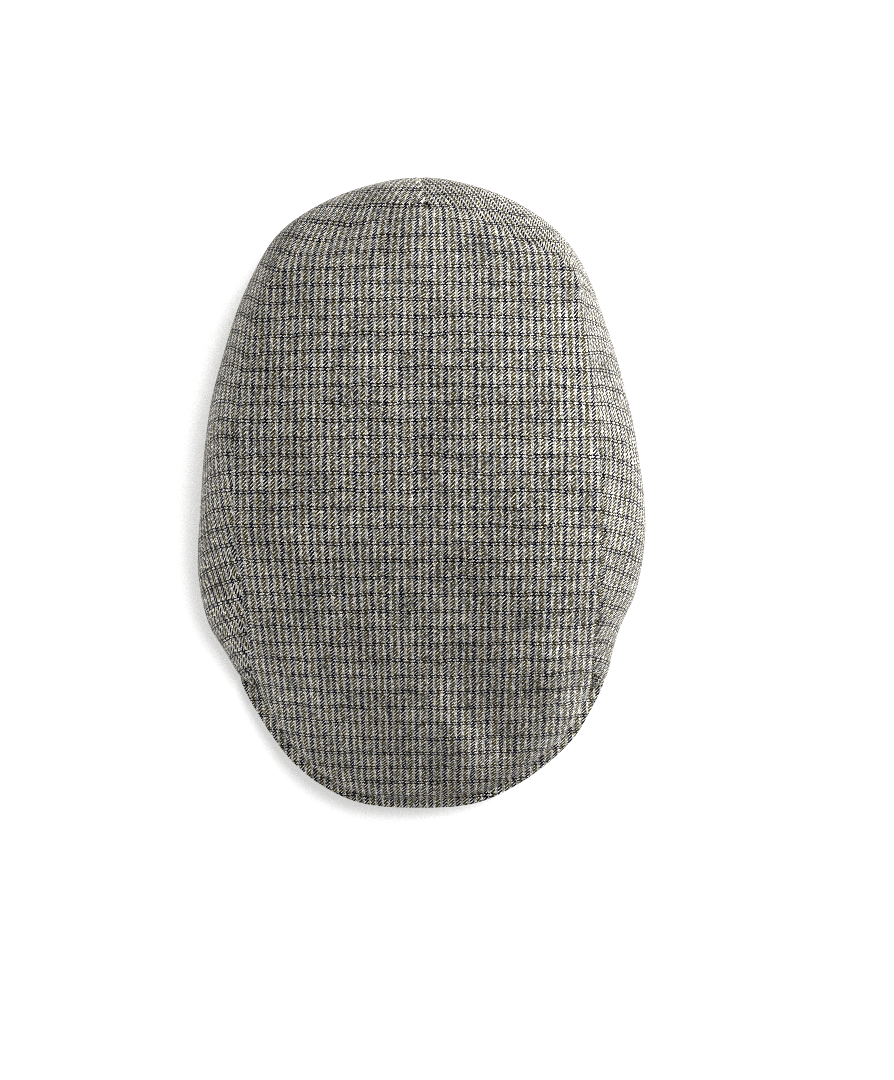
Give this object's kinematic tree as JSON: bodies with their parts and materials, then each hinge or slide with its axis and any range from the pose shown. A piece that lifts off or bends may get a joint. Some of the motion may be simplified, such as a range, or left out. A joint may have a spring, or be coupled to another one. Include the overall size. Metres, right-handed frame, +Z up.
{
  "type": "flat cap",
  "caption": "Soft flat cap with a rounded top panel drawn forward over a short stiff peak and side panels that wrap the head and meet at the back.",
  "frame": {"origin": "on the surface the cap rests on, under the middle of its length and width", "axes": "+Z up, +Y towards the back of the cap, -Y towards the peak, +X to the right as seen from above with the peak nearest the viewer"},
  "size_m": [0.2044, 0.2873, 0.0781],
  "materials": {
    "top_check_cloth": "matt brushed twill in a fine check",
    "left_check_cloth": "matt brushed twill in a fine check",
    "right_check_cloth": "matt brushed twill in a fine check",
    "peak_check_cloth": "matt brushed twill over a stiffener"
  },
  "bodies": {
    "root": {"crown_top": "top_check_cloth", "side_panel_left": "left_check_cloth", "side_panel_right": "right_check_cloth", "peak": "peak_check_cloth"}
  },
  "joints": []
}
